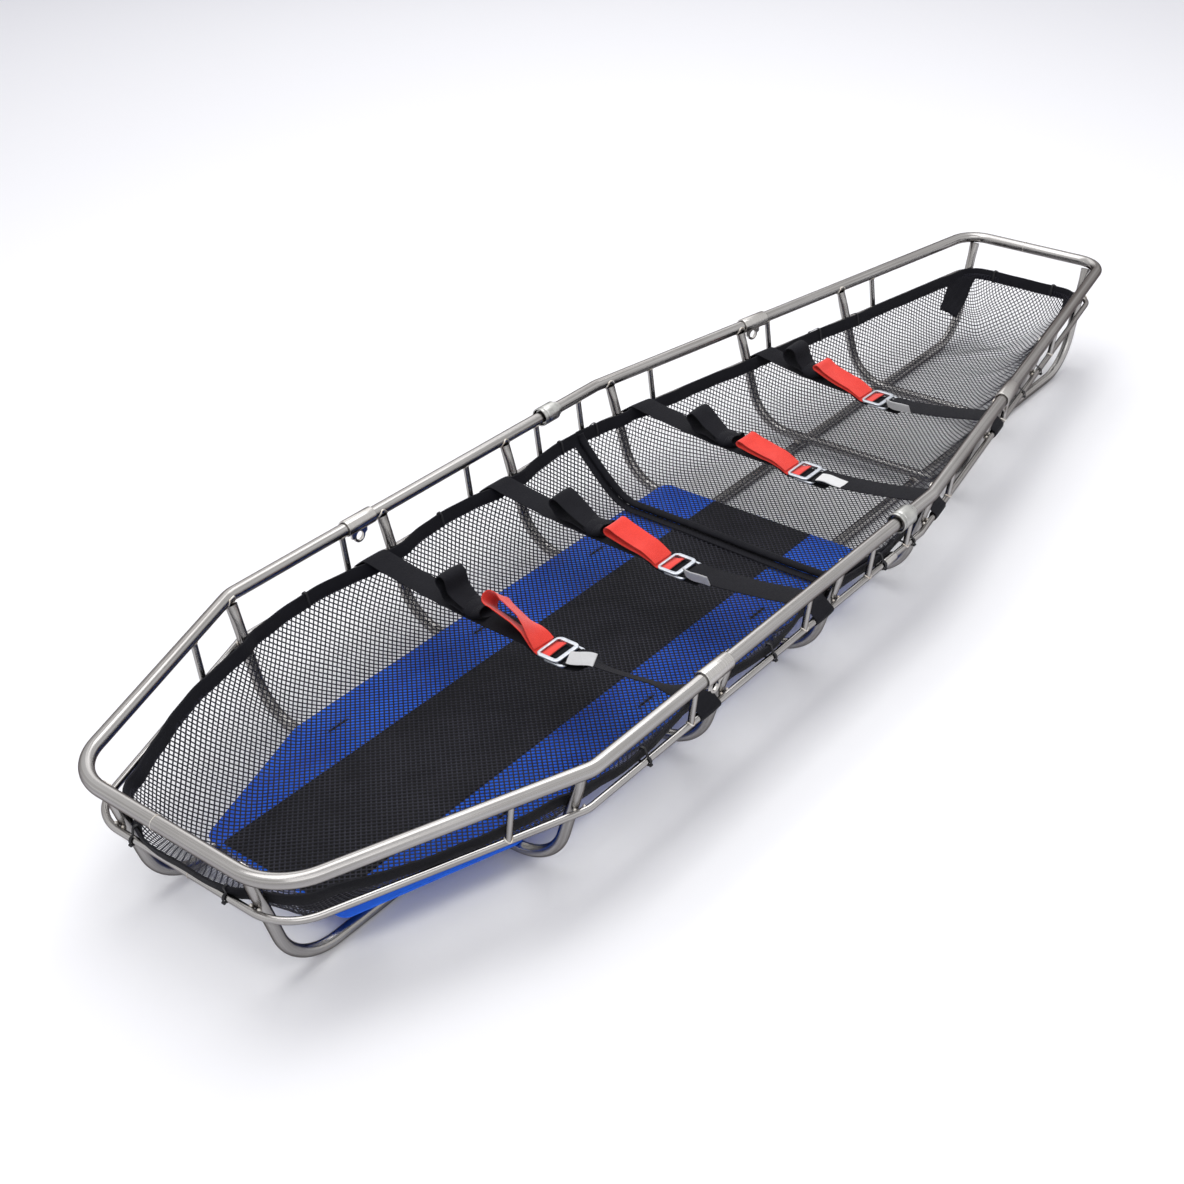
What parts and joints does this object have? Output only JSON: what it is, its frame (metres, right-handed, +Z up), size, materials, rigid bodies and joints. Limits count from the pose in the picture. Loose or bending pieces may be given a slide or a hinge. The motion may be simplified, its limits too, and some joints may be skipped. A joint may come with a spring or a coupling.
{
  "type": "basket stretcher",
  "caption": "Two-piece rescue basket stretcher: tube frame on runners, net bed with floor panel, buckled patient straps, bridle collars and threaded rail couplings.",
  "frame": {"origin": "middle of the footprint, on the plane the runners stand on", "axes": "+X from head to foot along the stretcher, +Y to the patient's left, +Z up"},
  "size_m": [2.1336, 0.6468, 0.2091],
  "materials": {
    "bridle_collar_left_1": "satin",
    "bridle_collar_left_2": "satin",
    "bridle_collar_right_1": "satin",
    "bridle_collar_right_2": "satin",
    "buckle_frame_1": "satin",
    "buckle_frame_2": "satin",
    "buckle_frame_3": "satin",
    "buckle_frame_4": "satin",
    "buckle_ring_1": "satin",
    "buckle_ring_2": "satin",
    "buckle_ring_3": "satin",
    "buckle_ring_4": "satin",
    "coupling_boss_left": "satin",
    "coupling_boss_right": "satin",
    "coupling_flange_left": "satin",
    "coupling_flange_right": "satin",
    "coupling_nut_left": "satin",
    "coupling_nut_right": "satin",
    "coupling_spigot_left": "satin",
    "coupling_spigot_right": "satin",
    "floor_panel": "woven",
    "lower_rail_foot": "satin",
    "lower_rail_head": "satin",
    "lower_rail_sleeve_left": "satin",
    "lower_rail_sleeve_right": "satin",
    "net_binding_foot": "woven",
    "net_binding_head": "woven",
    "net_floor_foot": "woven",
    "net_floor_head": "woven",
    "net_wall_foot": "woven",
    "net_wall_head": "woven",
    "panel_centre_strip": "woven",
    "pull_tab_1": "woven",
    "pull_tab_2": "woven",
    "pull_tab_3": "woven",
    "pull_tab_4": "woven",
    "rib_1": "satin",
    "rib_2": "satin",
    "rib_3": "satin",
    "rib_4": "satin",
    "rib_5": "satin",
    "rib_6": "satin",
    "runner_left_foot": "satin",
    "runner_left_head": "satin",
    "runner_right_foot": "satin",
    "runner_right_head": "satin",
    "strap_left_1": "woven",
    "strap_left_2": "woven",
    "strap_left_3": "woven",
    "strap_left_4": "woven",
    "strap_loop_1": "woven",
    "strap_loop_2": "woven",
    "strap_loop_3": "woven",
    "strap_loop_4": "woven",
    "strap_right_1": "woven",
    "strap_right_2": "woven",
    "strap_right_3": "woven",
    "strap_right_4": "woven",
    "top_rail_foot": "satin",
    "top_rail_head": "satin"
  },
  "bodies": {
    "head_half": {"top_rail_head": "top_rail_head", "lower_rail_head": "lower_rail_head", "runner_left_head": "runner_left_head", "runner_right_head": "runner_right_head", "rib_1": "rib_1", "rib_2": "rib_2", "rib_3": "rib_3", "net_floor_head": "net_floor_head", "net_wall_head": "net_wall_head", "net_binding_head": "net_binding_head", "floor_panel": "floor_panel", "panel_centre_strip": "panel_centre_strip", "coupling_spigot_left": "coupling_spigot_left", "coupling_spigot_right": "coupling_spigot_right", "coupling_boss_left": "coupling_boss_left", "coupling_boss_right": "coupling_boss_right", "strap_left_1": "strap_left_1", "strap_right_1": "strap_right_1", "strap_loop_1": "strap_loop_1", "pull_tab_1": "pull_tab_1", "buckle_ring_1": "buckle_ring_1", "strap_left_2": "strap_left_2", "strap_right_2": "strap_right_2", "strap_loop_2": "strap_loop_2", "pull_tab_2": "pull_tab_2", "buckle_ring_2": "buckle_ring_2"},
    "foot_half": {"top_rail_foot": "top_rail_foot", "lower_rail_foot": "lower_rail_foot", "runner_left_foot": "runner_left_foot", "runner_right_foot": "runner_right_foot", "rib_4": "rib_4", "rib_5": "rib_5", "rib_6": "rib_6", "net_floor_foot": "net_floor_foot", "net_wall_foot": "net_wall_foot", "net_binding_foot": "net_binding_foot", "coupling_flange_left": "coupling_flange_left", "coupling_flange_right": "coupling_flange_right", "lower_rail_sleeve_left": "lower_rail_sleeve_left", "lower_rail_sleeve_right": "lower_rail_sleeve_right", "strap_left_3": "strap_left_3", "strap_right_3": "strap_right_3", "strap_loop_3": "strap_loop_3", "pull_tab_3": "pull_tab_3", "buckle_ring_3": "buckle_ring_3", "strap_left_4": "strap_left_4", "strap_right_4": "strap_right_4", "strap_loop_4": "strap_loop_4", "pull_tab_4": "pull_tab_4", "buckle_ring_4": "buckle_ring_4"},
    "nut_left": {"coupling_nut_left": "coupling_nut_left"},
    "nut_right": {"coupling_nut_right": "coupling_nut_right"},
    "collar_left_1": {"bridle_collar_left_1": "bridle_collar_left_1"},
    "collar_right_1": {"bridle_collar_right_1": "bridle_collar_right_1"},
    "collar_left_2": {"bridle_collar_left_2": "bridle_collar_left_2"},
    "collar_right_2": {"bridle_collar_right_2": "bridle_collar_right_2"},
    "buckle_1": {"buckle_frame_1": "buckle_frame_1"},
    "buckle_2": {"buckle_frame_2": "buckle_frame_2"},
    "buckle_3": {"buckle_frame_3": "buckle_frame_3"},
    "buckle_4": {"buckle_frame_4": "buckle_frame_4"}
  },
  "joints": [
    {"name": "halves_pull_apart", "type": "slide", "parent": "head_half", "child": "foot_half", "axis": [1, 0, 0], "range_m": [0, 0.3]},
    {"name": "nut_left_turn", "type": "hinge", "parent": "foot_half", "child": "nut_left", "pos_m": [-0.02, 0.3086, 0.19428], "axis": [1, 0, 0], "continuous": true},
    {"name": "nut_right_turn", "type": "hinge", "parent": "foot_half", "child": "nut_right", "pos_m": [0.02, -0.3086, 0.19428], "axis": [1, 0, 0], "continuous": true},
    {"name": "collar_left_1_turn", "type": "hinge", "parent": "head_half", "child": "collar_left_1", "pos_m": [-0.4515, 0.3086, 0.19428], "axis": [1, 0, 0], "continuous": true},
    {"name": "collar_right_1_turn", "type": "hinge", "parent": "head_half", "child": "collar_right_1", "pos_m": [-0.4515, -0.3086, 0.19428], "axis": [1, 0, 0], "continuous": true},
    {"name": "collar_left_2_turn", "type": "hinge", "parent": "foot_half", "child": "collar_left_2", "pos_m": [0.4605, 0.2436, 0.19428], "axis": [0.9844, -0.1758, 0], "continuous": true},
    {"name": "collar_right_2_turn", "type": "hinge", "parent": "foot_half", "child": "collar_right_2", "pos_m": [0.4605, -0.2436, 0.19428], "axis": [0.9844, 0.1758, 0], "continuous": true},
    {"name": "buckle_1_lift", "type": "hinge", "parent": "head_half", "child": "buckle_1", "pos_m": [-0.45, -0.038, 0.121], "axis": [-1, 0, 0], "range_deg": [0, 60]},
    {"name": "buckle_2_lift", "type": "hinge", "parent": "head_half", "child": "buckle_2", "pos_m": [-0.179, -0.038, 0.121], "axis": [-1, 0, 0], "range_deg": [0, 60]},
    {"name": "buckle_3_lift", "type": "hinge", "parent": "foot_half", "child": "buckle_3", "pos_m": [0.168, -0.036, 0.121], "axis": [-1, 0, 0], "range_deg": [0, 60]},
    {"name": "buckle_4_lift", "type": "hinge", "parent": "foot_half", "child": "buckle_4", "pos_m": [0.46, 0.003, 0.12101], "axis": [-1, 0, 0], "range_deg": [0, 60]}
  ]
}
